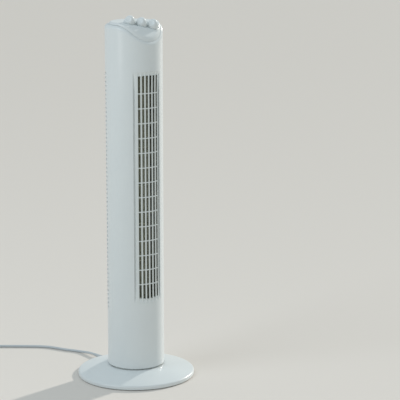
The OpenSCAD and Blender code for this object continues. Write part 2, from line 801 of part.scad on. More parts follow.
module motor_screws() color(steel) motor_screw_places()
    translate([0, 0, lower_baffle_z + baffle_t]) mirror([0, 0, 1])
        screw(lower_baffle_z + baffle_t - core_z + shield_h - 2, 1.4);

module terminal_block() color(rubber_black) translate([-16, -38, foot_top]) difference() {
    cube([32, 14, 12]);
    for (i = [0:3]) translate([4 + 8*i, 7, 4]) cylinder(r = 2.2, h = 10);
}

// ---- Controls ---------------------------------------------------------------

// A bar with round ends from p to q
function arc_points(c, r, from, steps = 15) =
    [for (i = [0:steps]) let(a = from + 180*i/steps) [c[0] + r*cos(a), c[1] + r*sin(a)]];
function bar_outline(p, q, r) = let(a = atan2(q[1] - p[1], q[0] - p[0]))
    concat(arc_points(q, r, a - 90), arc_points(p, r, a + 90));

// The outline of the terrace takes in the three knobs
module terrace_outline(r) polygon(bar_outline(knob_local(0), knob_local(2), r));

module below_panel_skin() across(2*reach) polygon(concat(swoop_edge(panel_t),
    [[reach, column_top - panel_zone], [-reach, column_top - panel_zone]]));

module control_panel() color(shell_white) {
    outer = swoop_edge(panel_t);
    inner = swoop_edge(panel_gap);
    lip_low = swoop_edge(-panel_lip_h);
    back = len(inner) - 1;
    difference() {
        union() {
            intersection() {
                translate([0, 0, column_top - panel_zone])
                    cylinder(r = column_r, h = panel_zone + 20);
                across(2*reach) polygon(concat(outer, [for (i = [back:-1:0]) inner[i]]));
            }
            intersection() {
                translate([0, 0, column_top - panel_zone])
                    ring(inner_r - fit, inner_r - fit - panel_lip_t, panel_zone + 20);
                across(2*reach) polygon(concat(swoop_edge(panel_gap + 0.5),
                    [for (i = [back:-1:0]) lip_low[i]]));
            }
            intersection() {
                on_terrace() translate([0, 0, -terrace_depth])
                    linear_extrude(height = 20) terrace_outline(terrace_r + terrace_wall);
                below_panel_skin();
            }
            on_terrace() translate([0, 0, -terrace_depth])
                linear_extrude(height = terrace_depth) terrace_outline(terrace_r);
        }
        on_terrace() {
            linear_extrude(height = 20) terrace_outline(terrace_r);
            translate([0, 0, -terrace_depth - 10]) linear_extrude(height = terrace_depth + 10
                - terrace_wall) terrace_outline(terrace_r - terrace_wall);
        }
        for (i = [0:2]) at_knob(i) translate([0, 0, -terrace_depth])
            cylinder(r = spindle_r + 0.6, h = 20);
    }
}

module switch_bracket() color(steel) difference() {
    on_terrace() translate([0, 0, bracket_z])
        linear_extrude(height = bracket_t) terrace_outline(terrace_r);
    for (i = [0:2]) at_knob(i) translate([0, 0, bracket_z - 1])
        cylinder(r = switch_neck_r + seat, h = bracket_t + 2);
}

// A switch body with a neck through the bracket and a bore for its spindle
module switch_body(r, h, top) difference() {
    union() {
        translate([0, 0, top - h]) cylinder(r = r, h = h);
        translate([0, 0, top - eps]) cylinder(r = 6, h = bracket_z - top + eps);
        translate([0, 0, bracket_z - eps]) cylinder(r = switch_neck_r, h = bracket_t + 2);
    }
    translate([0, 0, top - h + 3]) cylinder(r = spindle_r + run, h = 80);
}

module timer_mechanism() color(inner_grey) at_knob(0) switch_body(timer_r, timer_h, timer_z);
module swing_switch() color(rubber_black) at_knob(1) switch_body(switch_r, switch_h, bracket_z);
module speed_switch() color(rubber_black) at_knob(2) switch_body(switch_r, switch_h, bracket_z);

module spindle(bottom) translate([0, 0, bottom])
    cylinder(r = spindle_r, h = knob_lift + knob_bore - 0.5 - bottom);

module timer_spindle() color(steel) at_knob(0) spindle(timer_z - timer_h + 3.5);
module swing_spindle() color(steel) at_knob(1) spindle(bracket_z - switch_h + 3.5);
module speed_spindle() color(steel) at_knob(2) spindle(bracket_z - switch_h + 3.5);

// A domed knob with a scoop on each side of its finger grip
module knob() translate([0, 0, knob_lift]) difference() {
    rotate_extrude() polygon(concat([[0, 0], [knob_r, 0]], [for (a = [0:10:90])
        [knob_r*cos(a), knob_skirt + (knob_h - knob_skirt)*sin(a)]]));
    for (side = [-1, 1]) translate([side*(grip_w/2 + scoop_r), 0, scoop_z + scoop_r])
        rotate([90, 0, 0]) cylinder(r = scoop_r, h = 2*knob_d, center = true);
    translate([0, 0, -1]) cylinder(r = spindle_r + press, h = knob_bore + 1);
}

module timer_knob() color(shell_white) at_knob(0) knob();
module swing_knob() color(shell_white) at_knob(1) knob();
module speed_knob() color(shell_white) at_knob(2) knob();

// ---- Mains lead -------------------------------------------------------------

function unit(v) = v/norm(v);
function path_dir(p, i) = unit(p[min(i + 1, len(p) - 1)] - p[max(i - 1, 0)]);
function tube_ring(c, d, r, n) = let(s = unit(cross(d, [0, 0, 1])), u = cross(s, d))
    [for (k = [0:n - 1]) c + r*(cos(360*k/n)*s + sin(360*k/n)*u)];

// A round tube along a path
module tube(path, r, n) {
    m = len(path);
    points = [for (i = [0:m - 1]) each tube_ring(path[i], path_dir(path, i), r, n)];
    sides = [for (i = [0:m - 2], k = [0:n - 1])
        [i*n + k, i*n + (k + 1)%n, (i + 1)*n + (k + 1)%n, (i + 1)*n + k]];
    ends = [[for (k = [n - 1:-1:0]) k], [for (k = [0:n - 1]) (m - 1)*n + k]];
    polyhedron(points = points, faces = concat(sides, ends));
}

// A flat flange inside the base, a neck through its rim and a tapered sleeve outside
module strain_relief() color(cord_grey) {
    translate([-relief_flange[0]/2, relief_inner, plate_z + 0.7])
        cube([relief_flange[0], relief_flange[2], relief_flange[1]]);
    translate([0, 0, exit_z]) rotate([-90, 0, 0]) {
        translate([0, 0, relief_inner]) cylinder(r = relief_r, h = base_r + 0.5 - relief_inner);
        translate([0, 0, base_r + 0.2])
            cylinder(r1 = relief_r + 0.8, r2 = cord_r + 0.4, h = relief_len - 0.2);
    }
}

module mains_cord() color(cord_grey) tube(route, cord_r, cord_sides);

module cord_coil() color(cord_grey) translate([coil_at[0], coil_at[1], coil_base])
    rotate_extrude() translate([coil_outer + cord_r - cord_d*coil_wide, 0])
        square([cord_d*coil_wide, coil_h]);

// A tie round the turns of the coil
module cord_tie() color(rubber_black) translate([coil_at[0], coil_at[1], 0])
    rotate([0, 0, atan2(lead_dir[1], lead_dir[0]) + 200])
    translate([coil_outer + cord_r - cord_d*coil_wide, -tie_w/2, 0]) difference() {
        translate([-tie_t - 0.6, 0, 0])
            cube([cord_d*coil_wide + 2*tie_t + 1.2, tie_w, coil_base + coil_h + tie_t + 0.1]);
        translate([-0.5, -1, tie_t])
            cube([cord_d*coil_wide + 0.9, tie_w + 2, coil_base + coil_h + 0.1 - tie_t]);
    }

module cord_tail() color(cord_grey) tube([for (u = [0, 0.3, 0.7, 1])
    tail_at + u*tail_len*lead_side + [0, 0, tail_z + (plug_h/2 - tail_z)*(1 - cos(180*u))/2]],
    cord_r, cord_sides);

module mains_plug() color(cord_grey) translate([tail_end[0], tail_end[1], 0])
    rotate([0, 0, atan2(lead_side[1], lead_side[0])]) translate([seat, 0, 0]) {
        linear_extrude(height = plug_h) polygon([[0, -plug_neck_w/2], [10, -plug_neck_w/2],
            [18, -plug_w/2], [plug_len, -plug_w/2], [plug_len, plug_w/2], [18, plug_w/2],
            [10, plug_neck_w/2], [0, plug_neck_w/2]]);
        for (side = [-1, 1]) translate([plug_len - eps, side*pin_step, plug_h/2])
            rotate([0, 90, 0]) cylinder(r = pin_r, h = pin_len);
    }

base_cover();
base_plate();
ballast_ring();
rubber_feet();
base_screws();
ball_cage();
bearing_balls();
swing_yoke();
pivot_post();
pivot_washer();
pivot_nut();
column_foot();
foot_screws();
swing_motor();
swing_motor_screws();
crank_shaft();
crank_arm();
crank_roller();
front_cover();
rear_cover();
cover_screws();
outlet_grille();
scroll_wall();
vortex_tongue();
lower_baffle();
upper_baffle();
bearing_rubber();
bearing_bush();
impeller();
stub_shaft();
motor_shaft();
motor_rotor();
motor_core();
motor_windings();
motor_shields();
motor_bushes();
motor_screws();
terminal_block();
control_panel();
switch_bracket();
timer_mechanism();
swing_switch();
speed_switch();
timer_spindle();
swing_spindle();
speed_spindle();
timer_knob();
swing_knob();
speed_knob();
strain_relief();
mains_cord();
cord_coil();
cord_tie();
cord_tail();
mains_plug();
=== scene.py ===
# %% [markdown]
# # Dressing a tower fan
# The fan stands on a round base and turns from side to side on it. Its column holds a tall
# impeller that draws air in through slots at the back and blows it out through a grille at
# the front. The CAD frame has every piece in its real place, so this script adds the
# surfaces that the eye sees, each as a formula on a grid, and gives all pieces a finish.

# %% Load the frame
import json
import math
import bmesh
import bpy
import numpy as np
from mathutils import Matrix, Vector


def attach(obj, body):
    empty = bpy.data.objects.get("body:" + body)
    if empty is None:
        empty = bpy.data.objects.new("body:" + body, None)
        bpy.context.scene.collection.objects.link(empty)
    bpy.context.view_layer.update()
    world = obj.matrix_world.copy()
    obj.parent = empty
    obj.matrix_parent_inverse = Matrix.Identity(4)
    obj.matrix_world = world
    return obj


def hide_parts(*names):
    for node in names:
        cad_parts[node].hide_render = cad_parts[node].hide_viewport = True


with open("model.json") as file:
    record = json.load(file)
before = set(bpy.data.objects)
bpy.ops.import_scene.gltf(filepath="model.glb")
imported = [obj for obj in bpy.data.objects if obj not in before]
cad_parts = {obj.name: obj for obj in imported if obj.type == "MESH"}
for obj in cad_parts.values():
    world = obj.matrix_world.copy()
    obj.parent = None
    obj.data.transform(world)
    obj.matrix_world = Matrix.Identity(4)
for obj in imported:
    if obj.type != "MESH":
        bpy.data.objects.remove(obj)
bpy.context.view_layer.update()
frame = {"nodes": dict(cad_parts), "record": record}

MM = 0.001

# %% [markdown]
# ## The camera
# The fan is seen from its front left and from a little above, through a long lens, so its
# upright edges stay almost parallel. The camera is placed first, because the lead's unseen
# length has to lie outside its view.

# %% Camera
view_az = math.radians(-40)
view_right = Vector((math.cos(view_az), math.sin(view_az), 0))
aim_right, aim_height = 0.13243, 0.36763
view_target = view_right * aim_right + Vector((0, 0, aim_height))
camera_data = bpy.data.cameras.new("camera")
camera_data.lens, camera_data.sensor_width = 157.5, 36
camera = bpy.data.objects.new("camera", camera_data)
camera.location = (-2.1382, -2.7542, 1.1159)
camera.rotation_euler = (view_target - camera.location).to_track_quat("-Z", "Y").to_euler()
bpy.context.scene.collection.objects.link(camera)
bpy.context.scene.camera = camera
print("camera", round((view_target - camera.location).length, 3), "m from its target")

# %% [markdown]
# ## From arrays to meshes
# Every new surface is an array of points on a grid of rows and columns. Neighbouring points
# make the four-sided faces, and a mask leaves out the faces where there is a hole. The mesh
# takes its points and faces straight from the arrays.

# %% Grid helpers
def grid_faces(rows, cols, wrap=False, keep=None):
    """Faces of a grid, counted row by row: each joins a point with its right-hand neighbour
    and the two points above them. wrap joins the last column to the first."""
    across = cols if wrap else cols - 1
    r, c = np.meshgrid(np.arange(rows - 1), np.arange(across), indexing="ij")
    n = (c + 1) % cols
    faces = np.stack([r * cols + c, r * cols + n, (r + 1) * cols + n, (r + 1) * cols + c], -1)
    return faces[keep] if keep is not None else faces.reshape(-1, 4)


finish_of = {}


def add_piece(name, points, faces, body, slot, stands_for, smooth=35, closed=False):
    """A mesh object from points in millimetres and faces, riding on a body. Points that
    coincide, as at a pole, are merged; a closed skin has its faces turned outwards. Edges
    that turn by more than smooth degrees stay sharp, and slot names the finish."""
    points = np.asarray(points, float).reshape(-1, 3) * MM
    used = np.unique(faces)
    renumber = np.zeros(len(points), int)
    renumber[used] = np.arange(len(used))
    mesh = bpy.data.meshes.new(name)
    mesh.from_pydata(points[used].tolist(), [], renumber[faces].tolist())
    editable = bmesh.new()
    editable.from_mesh(mesh)
    bmesh.ops.remove_doubles(editable, verts=editable.verts, dist=1e-6)
    if closed:
        bmesh.ops.recalc_face_normals(editable, faces=editable.faces)
    editable.to_mesh(mesh)
    editable.free()
    mesh.polygons.foreach_set("use_smooth", np.ones(len(mesh.polygons), bool))
    mesh.set_sharp_from_angle(angle=math.radians(smooth))
    piece = bpy.data.objects.new(name, mesh)
    bpy.context.scene.collection.objects.link(piece)
    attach(piece, body)
    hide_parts(*stands_for)
    finish_of[piece] = slot
    return piece


def wall(piece, thickness, rounding, turn=50):
    """Gives a surface a wall on its inner side and rounds the edges where it turns by more
    than turn degrees. Thickness and rounding are in millimetres."""
    solid = piece.modifiers.new("wall", "SOLIDIFY")
    solid.thickness, solid.offset, solid.use_even_offset = thickness * MM, -1, False
    edge = piece.modifiers.new("edges", "BEVEL")
    edge.width, edge.segments = rounding * MM, 2
    edge.limit_method, edge.angle_limit = "ANGLE", math.radians(turn)
    edge.harden_normals = True


def on_column(angle, radius, height):
    """Points round the column: angle in degrees from the front, positive to the right."""
    a = np.radians(angle)
    return np.stack(np.broadcast_arrays(radius * np.sin(a), -radius * np.cos(a), height), -1)


def smooth_step(x):
    """0 below 0, 1 above 1, and three x squared less two x cubed between."""
    x = np.clip(x, 0, 1)
    return x * x * (3 - 2 * x)


def arc(centre, radius, start, end, steps):
    """Points on an arc in the plane, from one angle in degrees to another."""
    a = np.radians(np.linspace(start, end, steps))
    return np.stack([centre[0] + radius * np.cos(a), centre[1] + radius * np.sin(a)], -1)


print("helpers ready")

# %% [markdown]
# ## The mains lead
# A lead of round grey PVC leaves the back of the base through a tapered sleeve, lies on the
# floor in a loose curve and ends in a coil that is tied up with its plug beside it. One
# smooth path serves all of it: the floor route, then the turns of the coil in two layers, then
# the tail. A circle is carried along the path.

# %% Path of the lead
# The route is counted from the sleeve's end: along X, along Y and up, in millimetres.
lead_d = 5.2
base_edge, sleeve_length, exit_z = 120, 26, 5.6
floor_route = np.array([
    [0, 0, 5.6], [0, 10, 5.6], [-1, 22, 4.6], [-3, 34, 3.4], [-6, 46, 2.6], [-11, 58, 2.6],
    [-18, 70, 2.6], [-24, 83, 2.6], [-29, 97, 2.6], [-35, 111, 2.6], [-43, 123, 2.6],
    [-53, 134, 2.6], [-64, 144, 2.6], [-75, 154, 2.6], [-87, 164, 2.6], [-98, 174, 2.6],
    [-110, 184, 2.6], [-122, 194, 3.0], [-134, 204, 3.4], [-146, 214, 3.7]])
floor_route[:, 1] += base_edge + sleeve_length
# The coil has three turns side by side. It starts beyond a straight length and keeps a
# little off the floor. Its steps are stretches of its angle, in degrees.
coil_mean, coil_wide, straight, coil_base = 29, 3, 20, 1.1
steps_in, steps_up = ((250, 340), (580, 700)), ((830, 940),)
steps_out = ((1155, 1260), (1515, 1620))
lead_dir = floor_route[-1] - floor_route[-2]
lead_dir[2] = 0
lead_dir /= np.linalg.norm(lead_dir)
lead_side = np.array([-lead_dir[1], lead_dir[0], 0])
coil_outer = coil_mean + lead_d * (coil_wide - 1) / 2
coil_at = floor_route[-1] * [1, 1, 0] + straight * lead_dir + coil_outer * lead_side


def coil_points(turns=5.25, steps=260):
    """Turns on the floor from the outside in, then on top of them from the inside out. The
    radius and the height stay level, and change by one diameter, along a smooth step, over
    one stretch of each turn, so that neighbouring turns never cross."""
    a = np.linspace(0, 360 * turns, steps)[:, None]

    def changes(stretches):
        return lead_d * sum(smooth_step((a - start) / (end - start)) for start, end in stretches)

    r = coil_outer - changes(steps_in) + changes(steps_out)
    z = coil_base + lead_d / 2 + changes(steps_up)
    angle = np.radians(a)
    return (coil_at - r * np.cos(angle) * lead_side + r * np.sin(angle) * lead_dir
            + z * np.array([0, 0, 1]))


def smooth_path(knots, spacing=2.5, rounds=2, passes=3):
    """A path through the knots. In each round it is spaced evenly and then softened by some
    passes, each of which moves every inner point halfway to the middle of its neighbours."""
    p = np.array(knots, float)
    for _ in range(rounds):
        step = np.r_[0, np.cumsum(np.linalg.norm(np.diff(p, axis=0), axis=1))]
        even = np.linspace(0, step[-1], int(step[-1] / spacing))
        p = np.stack([np.interp(even, step, p[:, k]) for k in range(3)], -1)
        for _ in range(passes):
            p[1:-1] = (p[:-2] + 2 * p[1:-1] + p[2:]) / 4
    return p


# The tail comes down from the coil's upper layer to the height of the plug's middle.
upper_z, plug_z, tail_length = coil_base + lead_d * 1.5, 6.85, 40
tail_at = coil_at + coil_outer * lead_dir + straight * lead_side
tail = np.array([tail_at + u * tail_length * lead_side
                 + [0, 0, upper_z + (plug_z - upper_z) * (1 - math.cos(math.pi * u)) / 2]
                 for u in (0, 0.25, 0.5, 0.75, 1)])
lead_path = smooth_path(np.vstack([floor_route, coil_points(), tail]))

# %% Tube along the path
def tube_points(path, radius, sides):
    """A circle carried along a path. Each circle stands square to the path, with one axis
    level and the other in the plane of the path and the vertical."""
    ahead = np.gradient(path, axis=0)
    ahead /= np.linalg.norm(ahead, axis=1)[:, None]
    level = np.cross(ahead, [0, 0, 1])
    level /= np.linalg.norm(level, axis=1)[:, None]
    rise = np.cross(level, ahead)
    a = np.linspace(0, 2 * np.pi, sides, endpoint=False)
    circle = (np.cos(a)[:, None] * level[:, None] + np.sin(a)[:, None] * rise[:, None])
    return path[:, None] + radius * circle


lead_sides = 14
tube = tube_points(lead_path, lead_d / 2, lead_sides)
tube = np.concatenate([np.repeat(lead_path[:1, None], lead_sides, 1), tube,
                       np.repeat(lead_path[-1:, None], lead_sides, 1)])
mains_lead = add_piece("mains_lead", tube, grid_faces(len(tube), lead_sides, wrap=True),
                       "base", "cord_pvc", ["mains_cord", "cord_coil", "cord_tail"],
                       closed=True)
print("lead tube", len(mains_lead.data.polygons), "faces")

# %% [markdown]
# ## The base
# The base is one moulding: a low dome with a rounded rim, turned about the column's axis. It
# is a closed outline spun round, so the dome, the bearing's collar, the well under the column
# and the hollow underside are one surface. The dome is crowned slightly, as mouldings are,
# so that light rolls over it.

# %% Base shell
rim_top, rim_round, dome_top, dome_edge = 10, 4, 23.5, 58.5
skirt_r, skirt_z, lip = 117.6, 1.5, 0.6
crown = np.linspace(1, 0, 14)[1:-1, None]
rim_arc = arc((base_edge - rim_round, rim_top - rim_round), rim_round, 0, 74, 9)
dome_line = np.hstack([dome_edge + (rim_arc[-1, 0] - dome_edge) * crown,
                       dome_top - (dome_top - rim_arc[-1, 1]) * crown ** 1.2])
base_outline = np.vstack([
    [[skirt_r, skirt_z]], arc((base_edge - lip, skirt_z + lip), lip, -90, 0, 4), rim_arc,
    dome_line,
    arc((dome_edge + lip, dome_top - lip), lip, 75, 90, 3),
    [[53, dome_top]], arc((52.6, 24.8), 0.4, 0, 90, 3), arc((45.4, 24.8), 0.4, 90, 180, 3),
    [[45, 15.4], [5.05, 15.4], [5.05, 13.0], [47.4, 13.0], [47.4, 21.1], [58.5, 21.1],
     [115, 7.6], [skirt_r, 5], [skirt_r, skirt_z]]])
full_turn = np.linspace(0, 360, 144, endpoint=False)
base_faces = grid_faces(len(base_outline), len(full_turn), wrap=True)
add_piece("base_shell", on_column(full_turn, base_outline[:, :1], base_outline[:, 1:]),
          base_faces, "base", "shell_abs", ["base_cover"])
print("base shell", len(base_faces), "faces")

# %% [markdown]
# ## The column's covers
# The column is two half tubes that meet at its sides. Their top is cut by one curve that is
# level at the back, bends, and then falls to the front, so in the round it looks like a
# sweep. A rounded shoulder leads from the upright side onto that top, and the control panel
# sits on it. Each cover is a sheet of points in angle and row. Its rows follow guide lines:
# the lower edge, both edges of the opening, the start of the shoulder, and its arc.

# %% Column sizes and the swept top
# The covers meet a little behind the widest point, with a fine joint between them.
column_r, column_wall, column_z, column_top = 58, 2.2, 26.5, 728
behind, joint_turn = 3, 0.05
cover_end = 90 + math.degrees(math.asin(behind / column_r)) - joint_turn
bend_start, bend_r, bend_angle = 10, 38, math.radians(50)
shoulder_r, panel_r, panel_shift = 8, 51, 4
panel_lift, seam_gap, under_panel = 4.7, 0.3, 2.5


def swept_top(forward, lift=0):
    """Height of the swept top at a distance in front of the axis, raised square to itself
    by lift: level, then an arc of the bend's radius, then a straight fall."""
    r = bend_r + lift
    x = np.clip(forward - bend_start, 0, r * math.sin(bend_angle))
    on_arc = column_top - bend_r + np.sqrt(r * r - x * x)
    past = np.maximum(forward - bend_start - r * math.sin(bend_angle), 0)
    return on_arc - past * math.tan(bend_angle)


def panel_edge(angle):
    """Distance of the panel's round edge from the axis, in a direction given in degrees."""
    a = np.radians(angle)
    return panel_shift * np.cos(a) + np.sqrt(panel_r ** 2 - (panel_shift * np.sin(a)) ** 2)


def shoulder(angle, arc_steps=9, flat_steps=3):
    """Radii and heights of the rows over the shoulder. With the top falling outwards at an
    angle, the arc turns from upright until it meets that fall, and the last rows follow the
    top in under the panel."""
    ahead = np.cos(np.radians(angle))
    near_edge = column_r - shoulder_r / 2
    fall = np.arctan(swept_top((near_edge - 0.5) * ahead) - swept_top((near_edge + 0.5) * ahead))
    meet = column_r - shoulder_r * (1 - np.sin(fall))
    centre = swept_top(meet * ahead) - shoulder_r * np.cos(fall)
    turn = (np.pi / 2 - fall) * np.linspace(0, 1, arc_steps + 1)[:, None]
    inwards = np.linspace(0, 1, flat_steps + 1)[1:, None]
    flat_r = meet + (panel_edge(angle) - under_panel - meet) * inwards
    radii = np.vstack([column_r - shoulder_r * (1 - np.cos(turn)), flat_r])
    return radii, np.vstack([centre + shoulder_r * np.sin(turn), swept_top(flat_r * ahead)])


outlet_turn, outlet_half = -8, 30
window_low, window_high, bow_low, bow_high = 167, 636, 4, 1.5


def bow(angle):
    """1 in the middle of the outlet and 0 at its sides, along a parabola."""
    return np.clip(1 - ((angle - outlet_turn) / outlet_half) ** 2, 0, 1)


def window_edges(angle):
    """Heights of the outlet's lower and upper edge, each bowed outwards in its middle."""
    return window_low - bow_low * bow(angle), window_high + bow_high * bow(angle)


def rows_between(guides, counts):
    """Heights of all rows: each pair of guide lines is filled with evenly spaced rows."""
    out = [guides[0][None]]
    for low, high, n in zip(guides, guides[1:], counts):
        t = np.linspace(0, 1, n + 1)[1:, None]
        out.append(low + (high - low) * t)
    return np.vstack(out)


print("swept top falls to", round(float(swept_top(column_r)), 1), "mm")

# %% Front cover
# The opening reaches 2 degrees further on the left. Cells are counted across and upwards.
left, right = outlet_turn - outlet_half - 2, outlet_turn + outlet_half
left_cells, outlet_cells, right_cells = 27, 30, 35
foot_rows, outlet_rows, head_rows = 10, 30, 12
front_angles = np.r_[np.linspace(-cover_end, left, left_cells + 1)[:-1],
                     np.linspace(left, right, outlet_cells + 1),
                     np.linspace(right, cover_end, right_cells + 1)[1:]]
low_edge, high_edge = window_edges(front_angles)
over_r, over_z = shoulder(front_angles)
side_z = rows_between([np.full_like(low_edge, column_z), low_edge, high_edge, over_z[0]],
                      (foot_rows, outlet_rows, head_rows))
heights = np.vstack([side_z, over_z[1:]])
radii = np.vstack([np.full_like(side_z, column_r), over_r[1:]])
keep = np.ones((len(heights) - 1, len(front_angles) - 1), bool)
keep[foot_rows:foot_rows + outlet_rows, left_cells:left_cells + outlet_cells] = False
front_shell = add_piece("front_shell", on_column(front_angles, radii, heights),
                        grid_faces(*heights.shape, keep=keep), "column", "shell_abs",
                        ["front_cover"])
wall(front_shell, column_wall, 0.2)
print("front cover", int(keep.sum()), "faces before its wall is added")

# %% [markdown]
# The rear cover has rows of narrow slots that let the air in, in three columns with plain
# bars between them. The slots are faces left out of the sheet; the wall and the rounded
# edges are added afterwards, so every slot gets them too.

# %% Rear cover
# Each column of slots reaches slot_reach degrees to both sides of its middle.
slot_reach, column_middles = 20.4, np.array([132, 180, 228])
slot_columns = (column_middles[:, None] + np.linspace(-slot_reach, slot_reach, 13)).ravel()
rear_start = 2 * joint_turn + cover_end
rear_angles = np.r_[np.linspace(rear_start, slot_columns[0], 10)[:-1], slot_columns,
                    np.linspace(slot_columns[-1], 360 - rear_start, 10)[1:]]
intake_z, intake_pitch, intake_h, intake_rows = 145, 8.8, 4.4, 56
foot_rows, head_rows = 8, 7
slot_z = intake_z + intake_pitch * np.arange(intake_rows)[:, None] + [0, intake_h]
over_r, over_z = shoulder(rear_angles)
side_z = np.r_[np.linspace(column_z, intake_z, foot_rows + 1)[:-1], slot_z.ravel()]
side_z = side_z[:, None] + np.zeros(len(rear_angles))
side_z = np.vstack([side_z, rows_between([side_z[-1], over_z[0]], (head_rows,))[1:]])
heights = np.vstack([side_z, over_z[1:]])
radii = np.vstack([np.full_like(side_z, column_r), over_r[1:]])
cell_middles = (rear_angles[:-1] + rear_angles[1:]) / 2
in_column = np.any(abs(cell_middles - column_middles[:, None]) < slot_reach, axis=0)
keep = np.ones((len(heights) - 1, len(rear_angles) - 1), bool)
keep[foot_rows:foot_rows + 2 * intake_rows:2, in_column] = False
rear_shell = add_piece("rear_shell", on_column(rear_angles, radii, heights),
                       grid_faces(*heights.shape, keep=keep), "column", "shell_abs",
                       ["rear_cover"])
wall(rear_shell, column_wall, 0.3)
print("rear cover", intake_rows * len(column_middles), "slots")

# %% [markdown]
# ## The outlet grille
# The grille is a curved plate set into the front cover, with a channel down each side. Six
# tall slots stand side by side, cut by fourteen thin ribs, and past their ends each slot
# runs out in a short groove. The bars between the slots are rounded. The plate comes level
# with the cover at its top and bottom, so only its sides show a step.

# %% Grid of the grille
# Across: slots of twice slot_half degrees, each with points on its rounded bars. Upwards:
# the rows past the slots' lower ends, the two edges of each rib, and the rows above.
slot_count, slot_step, slot_half, slot_shift = 6, 8.15, 2.4, 0.6
slot_middles = (outlet_turn + slot_shift
                + (np.arange(slot_count) - (slot_count - 1) / 2) * slot_step)
bar_offsets = np.array([-3.4, -slot_half, -1.1, 0, 1.1, slot_half, 3.4, slot_step / 2])
edge_steps = np.array([0.15, 1.0, 2.2, 2.9, 3.6, 4.3])
grille_angles = np.r_[left + edge_steps, slot_middles[0] - slot_step / 2,
                      (slot_middles[:, None] + bar_offsets).ravel(), right - edge_steps[::-1]]
low_edge, high_edge = window_edges(grille_angles)
slots_low, slots_high, slots_bow = 177, 628.5, 4.3
low_end = slots_low - slots_bow * bow(grille_angles)
high_end = slots_high + bow_high * bow(grille_angles)
first_rib, rib_pitch, rib_h, rib_count, edge_gap = 204, 30, 1.8, 14, 0.05
ribs = [np.full_like(low_end, first_rib + k * rib_pitch + side * rib_h / 2)
        for k in range(rib_count) for side in (-1, 1)]
below = [low_edge + edge_gap, *(low_end - past for past in (9, 6.5, 4, 1.8))]
above = [*(high_end + past for past in (1.8, 4, 6.8)), high_edge - edge_gap]
rows = np.array([*below, low_end, *ribs, high_end, *above])
heights = np.maximum.accumulate(rows, axis=0)
print("grille grid", heights.shape)

# %% Outlet grille
# The plate is sunk by a little all over and by more in the channels at its sides. Towards
# the slots it falls by slot_round, and past their ends by end_groove, which then runs out.
plate_sink, channel_sink, channel_flat, channel_rise = 0.6, 2.2, 2.2, 2.1
slot_round, end_groove, run_out, end_rise, set_back = 0.75, 2.0, 9.5, 16, 0.1
bar_start, bar_slope, grille_wall = 1.6, 2.0, 2.4
from_slot = np.min(abs(grille_angles[:, None] - slot_middles), axis=1)
groove = 1 - smooth_step((from_slot - bar_start) / bar_slope)
past_end = np.maximum(low_end - heights, heights - high_end)
depth = np.where(past_end > 0, end_groove * (1 - smooth_step(past_end / run_out)), slot_round)
from_side = np.minimum(grille_angles - left, right - grille_angles)
dip = plate_sink + channel_sink * (1 - smooth_step((from_side - channel_flat) / channel_rise))
sink = (dip * smooth_step((heights - window_low) / end_rise)
        * smooth_step((window_high - heights) / end_rise))
grille_radius = column_r - set_back - sink - groove * depth
in_slot = np.maximum(from_slot[:-1], from_slot[1:]) < slot_half + 0.01
keep = np.ones((len(rows) - 1, len(grille_angles) - 1), bool)
keep[len(below):len(below) + len(ribs) + 2:2, in_slot] = False
front_grille = add_piece("front_grille", on_column(grille_angles, grille_radius, heights),
                         grid_faces(*heights.shape, keep=keep), "column", "grille_abs",
                         ["outlet_grille"])
wall(front_grille, grille_wall, 0.3)
print("grille", slot_count * (rib_count + 1), "openings,", int(keep.sum()), "faces")

# %% [markdown]
# ## The control panel
# The panel sits on the column's top, inside the shoulder. From above it is a disc; its height
# follows the swept top, raised by the panel's height, and rolls down at the rim. A sloping
# terrace runs across it for the knobs: at the back left it stands proud of the panel, and at
# the front right it is sunk in. A height is worked out for each point of the disc, and a
# second sheet below closes the panel.

# %% Terrace and knob places
# Each knob stands knob_right beside the one before it and knob_forward in front of it.
tilt = math.radians(25)
terrace_y, terrace_z, terrace_r, terrace_soft = -24, 727.081, 12.9, 1.8
knob_right, knob_forward = 22, 9
row_half = math.hypot(knob_right, knob_forward / math.cos(tilt))
row_dir = np.array([knob_right, -knob_forward / math.cos(tilt)]) / row_half


def terrace_height(y):
    """Height of the sloping plane through the knobs' feet."""
    return terrace_z + (y - terrace_y) * math.tan(tilt)


def from_knob_row(x, y):
    """Distance from the straight line between the outer knobs, measured in the plane of the
    terrace."""
    u = np.stack([x, (y - terrace_y) / math.cos(tilt)], -1)
    along = np.clip(u @ row_dir, -row_half, row_half)
    return np.linalg.norm(u - along[..., None] * row_dir, axis=-1)


knob_places = {which: (i * knob_right, terrace_y - i * knob_forward,
                       terrace_height(terrace_y - i * knob_forward))
               for i, which in enumerate(("timer", "swing", "speed"), -1)}
print("terrace", round(2 * (row_half + terrace_r)), "mm long")

# %% Control panel
# A square grid is bent into a disc. The skin rolls down along an ellipse near the rim.
side_steps, roll, roll_share, sheet = 150, 3.8, 0.92, 1.5
u, v = np.meshgrid(np.linspace(-1, 1, side_steps), np.linspace(-1, 1, side_steps))
disc_x, disc_y = u * np.sqrt(1 - v * v / 2), v * np.sqrt(1 - u * u / 2)
reach = np.hypot(disc_x, disc_y)
panel_x, panel_y = disc_x * panel_r, disc_y * panel_r - panel_shift
past_roll = np.clip((reach * panel_r - (panel_r - roll)) / roll, 0, 1)
lifted, seam = swept_top(-panel_y, panel_lift), swept_top(-panel_y, seam_gap)
skin = lifted - roll_share * (lifted - seam) * (1 - np.sqrt(1 - past_roll ** 2))
inside = smooth_step((terrace_r + terrace_soft / 2 - from_knob_row(panel_x, panel_y))
                     / terrace_soft)
panel_top = skin + (terrace_height(panel_y) - skin) * inside
panel_under = np.minimum(seam, panel_top - sheet * (reach < 0.98))
